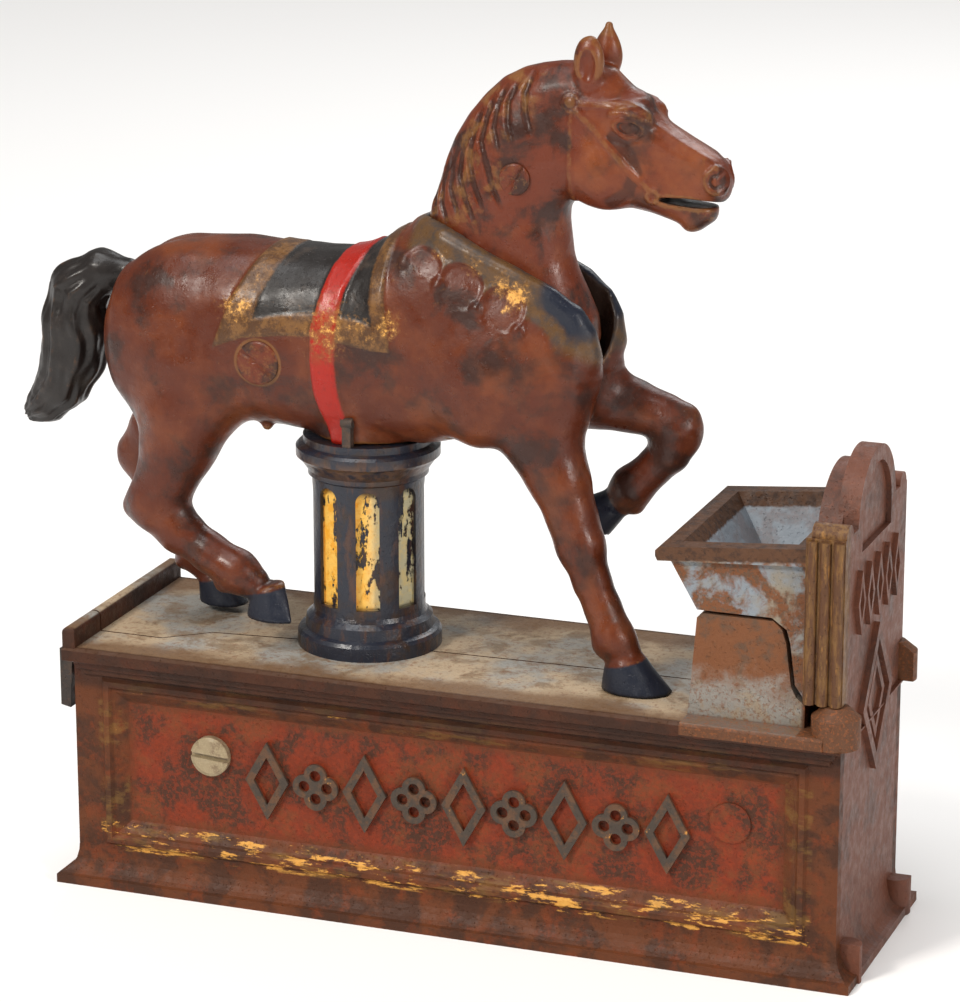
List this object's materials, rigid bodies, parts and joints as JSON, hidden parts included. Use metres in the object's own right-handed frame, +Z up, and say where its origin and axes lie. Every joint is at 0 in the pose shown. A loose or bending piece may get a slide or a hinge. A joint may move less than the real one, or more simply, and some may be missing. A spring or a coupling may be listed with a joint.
{
  "type": "mechanical coin bank",
  "caption": "Cast-iron mechanical coin bank: a horse on a fluted column bends its hinged neck over a manger with a trap, worked by an end lever.",
  "frame": {"origin": "middle of the flat underside of the base box, on the surface that the bank stands on", "axes": "+X along the box toward the manger, +Y toward the horse's off side, +Z up"},
  "size_m": [0.2033, 0.0572, 0.1972],
  "materials": {
    "horse_brown": "reddish brown enamel worn to dark bronze",
    "tail_black": "black enamel",
    "panel_red": "orange red enamel with brown blotches",
    "deck_blue": "worn grey blue enamel with rust",
    "column_black": "blue black enamel with chipped yellow",
    "end_brown": "pinkish brown patina",
    "iron_bare": "bare dark iron",
    "screw_steel": "tarnished steel",
    "spring_steel": "oiled steel wire"
  },
  "bodies": {
    "bank": {"front_case": "panel_red", "rear_case": "panel_red", "left_end_plate": "end_brown", "end_plate": "end_brown", "manger_seat": "deck_blue", "hopper": "deck_blue", "trap_pin": "screw_steel", "floor_plate": "iron_bare", "floor_screws": "screw_steel", "column": "column_black", "column_screws": "screw_steel", "body_near": "horse_brown", "body_far": "horse_brown", "tail": "tail_black", "girth_lug": "iron_bare", "flank_screw": "horse_brown", "neck_pivot_pin": "screw_steel", "return_spring": "spring_steel", "lever_pin": "screw_steel", "case_screw_left": "screw_steel", "case_screw_right": "screw_steel"},
    "head": {"head_near": "horse_brown", "head_far": "horse_brown", "neck_screw": "screw_steel", "neck_arm": "iron_bare"},
    "push_rod": {"push_rod": "iron_bare"},
    "lever": {"lever": "iron_bare"},
    "trap_door": {"trap_door": "iron_bare"},
    "trap_link": {"trap_link": "iron_bare"},
    "coin_door": {"coin_door": "iron_bare"}
  },
  "joints": [
    {"name": "neck_nod", "type": "hinge", "parent": "bank", "child": "head", "pos_m": [0.017, 0, 0.129], "axis": [0, 1, 0], "range_deg": [0, 50], "stiffness_Nm_per_rad": 0.09, "springref_deg": -80.21},
    {"name": "rod_lift", "type": "slide", "parent": "bank", "child": "push_rod", "axis": [0, 0, 1], "range_m": [0, 0.0256], "deforming": ["return_spring"]},
    {"name": "lever_press", "type": "hinge", "parent": "bank", "child": "lever", "pos_m": [-0.072, 0, 0.038], "axis": [0, 1, 0], "range_deg": [-31.8, 0]},
    {"name": "link_pull", "type": "slide", "parent": "bank", "child": "trap_link", "axis": [1, 0, 0], "range_m": [-0.0053, 0]},
    {"name": "trap_drop", "type": "hinge", "parent": "bank", "child": "trap_door", "pos_m": [0.06, 0, 0.077], "axis": [0, 1, 0], "range_deg": [0, 33.3]},
    {"name": "coin_door_slide", "type": "slide", "parent": "bank", "child": "coin_door", "axis": [1, 0, 0], "range_m": [0, 0.024]}
  ],
  "couplings": [
    {"joint": "rod_lift", "follows": "neck_nod", "m_per_rad": 0.029057},
    {"joint": "lever_press", "follows": "neck_nod", "ratio": -0.63},
    {"joint": "link_pull", "follows": "neck_nod", "m_per_rad": -0.005959},
    {"joint": "trap_drop", "follows": "neck_nod", "ratio": 0.66}
  ]
}
